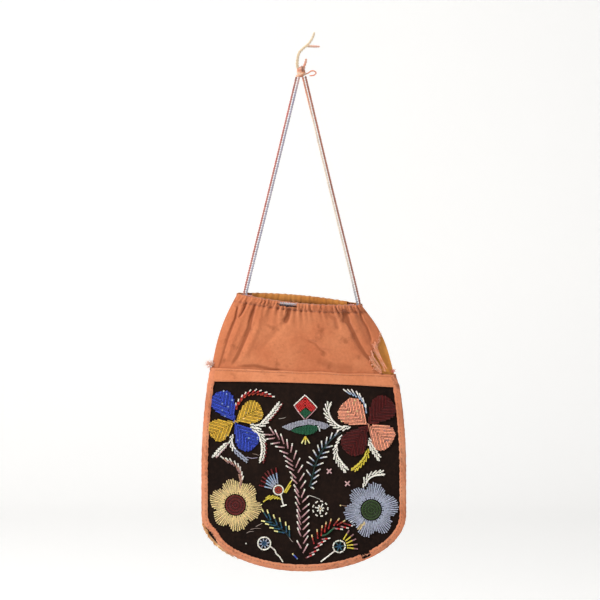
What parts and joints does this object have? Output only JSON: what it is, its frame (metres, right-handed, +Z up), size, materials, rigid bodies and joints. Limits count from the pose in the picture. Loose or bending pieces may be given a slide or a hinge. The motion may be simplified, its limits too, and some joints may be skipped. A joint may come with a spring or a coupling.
{
  "type": "beaded drawstring bag",
  "caption": "Flat cloth pouch with a rounded bottom, a gathered drawstring mouth, a tied hanging cord and a floral beaded velvet front.",
  "frame": {"origin": "the point that the tied cord hangs from, in the middle of the cord's thickness", "axes": "+Z up, -Y out of the beaded front, +X to the right of someone who looks at the front"},
  "size_m": [0.1843, 0.0207, 0.4856],
  "materials": {
    "blue_beads": "opaque glass seed beads, glossy",
    "cream_beads": "opaque glass seed beads, glossy",
    "dark_green_beads": "opaque glass seed beads, glossy",
    "emerald_beads": "opaque glass seed beads, glossy",
    "gold_beads": "opaque glass seed beads, glossy",
    "grey_blue_beads": "opaque glass seed beads, glossy",
    "grey_wool": "plied wool yarn, grey-blue fading to cream",
    "lilac_beads": "opaque glass seed beads, glossy",
    "lining_cotton": "plain cotton lining",
    "maroon_beads": "opaque glass seed beads, glossy",
    "ochre_cotton": "ochre plain-weave cotton",
    "peach_beads": "opaque glass seed beads, glossy",
    "pink_beads": "opaque glass seed beads, glossy",
    "red_beads": "opaque glass seed beads, glossy",
    "red_wool": "plied wool yarn, red-pink fading to salmon",
    "salmon_cotton": "faded salmon plain-weave cotton",
    "tan_wool": "plied wool yarn, salmon and tan",
    "teal_beads": "opaque glass seed beads, glossy",
    "velvet": "dark brown-black cotton velvet",
    "white_beads": "opaque glass seed beads, glossy",
    "yellow_beads": "opaque glass seed beads, glossy"
  },
  "bodies": {
    "root": {"velvet_panel": "velvet", "front_yoke": "salmon_cotton", "seam_band": "salmon_cotton", "edge_binding": "salmon_cotton", "back_panel": "ochre_cotton", "front_lining": "lining_cotton", "drawstring_front": "grey_wool", "drawstring_back": "red_wool", "hanging_knot": "tan_wool", "tail_long": "tan_wool", "tail_stub": "tan_wool", "tail_curl": "tan_wool", "blue_petal_upper": "blue_beads", "gold_petal_upper": "gold_beads", "gold_petal_lower": "gold_beads", "blue_petal_lower": "blue_beads", "red_spray": "red_beads", "white_spray_upper": "white_beads", "white_spray_lower": "white_beads", "grey_spray": "grey_blue_beads", "white_spray_left": "white_beads", "brown_spray": "pink_beads", "peach_petal_upper": "peach_beads", "maroon_petal_upper": "maroon_beads", "peach_petal_lower": "peach_beads", "maroon_petal_lower": "maroon_beads", "blue_spray": "grey_blue_beads", "white_spray_inner": "white_beads", "white_stroke": "white_beads", "white_spray_drop": "white_beads", "yellow_spray": "yellow_beads", "white_spray_side": "white_beads", "bud_red": "red_beads", "bud_green": "emerald_beads", "grey_leaf": "lilac_beads", "green_leaf": "emerald_beads", "yellow_sepals": "yellow_beads", "main_stem": "pink_beads", "right_branch": "teal_beads", "lower_left_branch": "teal_beads", "lower_right_branch": "red_beads", "thistle_ring": "white_beads", "thistle_ring_core": "red_beads", "thistle_rays": "grey_blue_beads", "thistle_leaf_left": "yellow_beads", "thistle_leaf_right": "yellow_beads", "left_bud": "white_beads", "left_bud_core": "grey_blue_beads", "right_bud": "white_beads", "right_bud_core": "teal_beads", "right_bud_rays": "yellow_beads", "star_roundel": "white_beads", "upper_cross": "pink_beads", "lower_cross": "pink_beads", "cream_rosette": "cream_beads", "cream_rosette_eye": "maroon_beads", "blue_rosette": "grey_blue_beads", "blue_rosette_eye": "dark_green_beads", "rosette_spray": "white_beads"}
  },
  "joints": []
}
